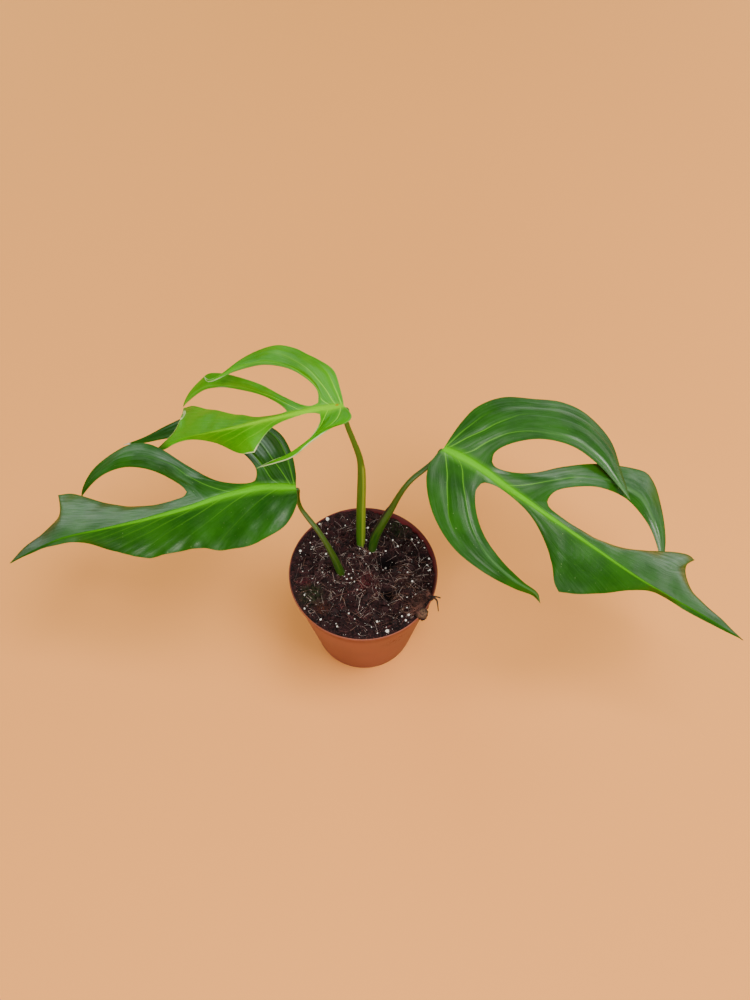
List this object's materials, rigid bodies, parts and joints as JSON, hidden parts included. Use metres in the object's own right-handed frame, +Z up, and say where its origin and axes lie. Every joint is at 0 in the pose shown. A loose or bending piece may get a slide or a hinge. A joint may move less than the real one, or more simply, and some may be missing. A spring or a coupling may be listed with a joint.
{
  "type": "potted split-leaf climbing plant",
  "caption": "Young split-leaf climbing plant with long-stalked leaves, cut into curved lobes and holes, rooted in bark and perlite mix in a tapered plastic nursery pot.",
  "frame": {"origin": "centre of the underside of the pot's floor", "axes": "+Z up along the pot's axis, -Y towards the front of the plant, +X along its widest spread, towards the longest leaf"},
  "size_m": [0.4777, 0.1891, 0.2163],
  "materials": {
    "pot_plastic": "satin terracotta-coloured plastic",
    "potting_mix": "damp dark bark and fibre with white grains",
    "buried_stem": "pale woody skin with lighter roots",
    "stalk": "smooth olive green, semi-gloss",
    "dark_leaf": "smooth semi-gloss leaf, dark green with a yellow-green midrib",
    "young_leaf": "smooth semi-gloss leaf, fresh bright green with a pale margin"
  },
  "bodies": {
    "root": {"pot": "pot_plastic", "potting_mix": "potting_mix", "buried_stem": "buried_stem", "left_stalk": "stalk", "left_blade": "dark_leaf", "centre_stalk": "stalk", "centre_blade": "young_leaf", "right_stalk": "stalk", "right_blade": "dark_leaf"}
  },
  "joints": []
}
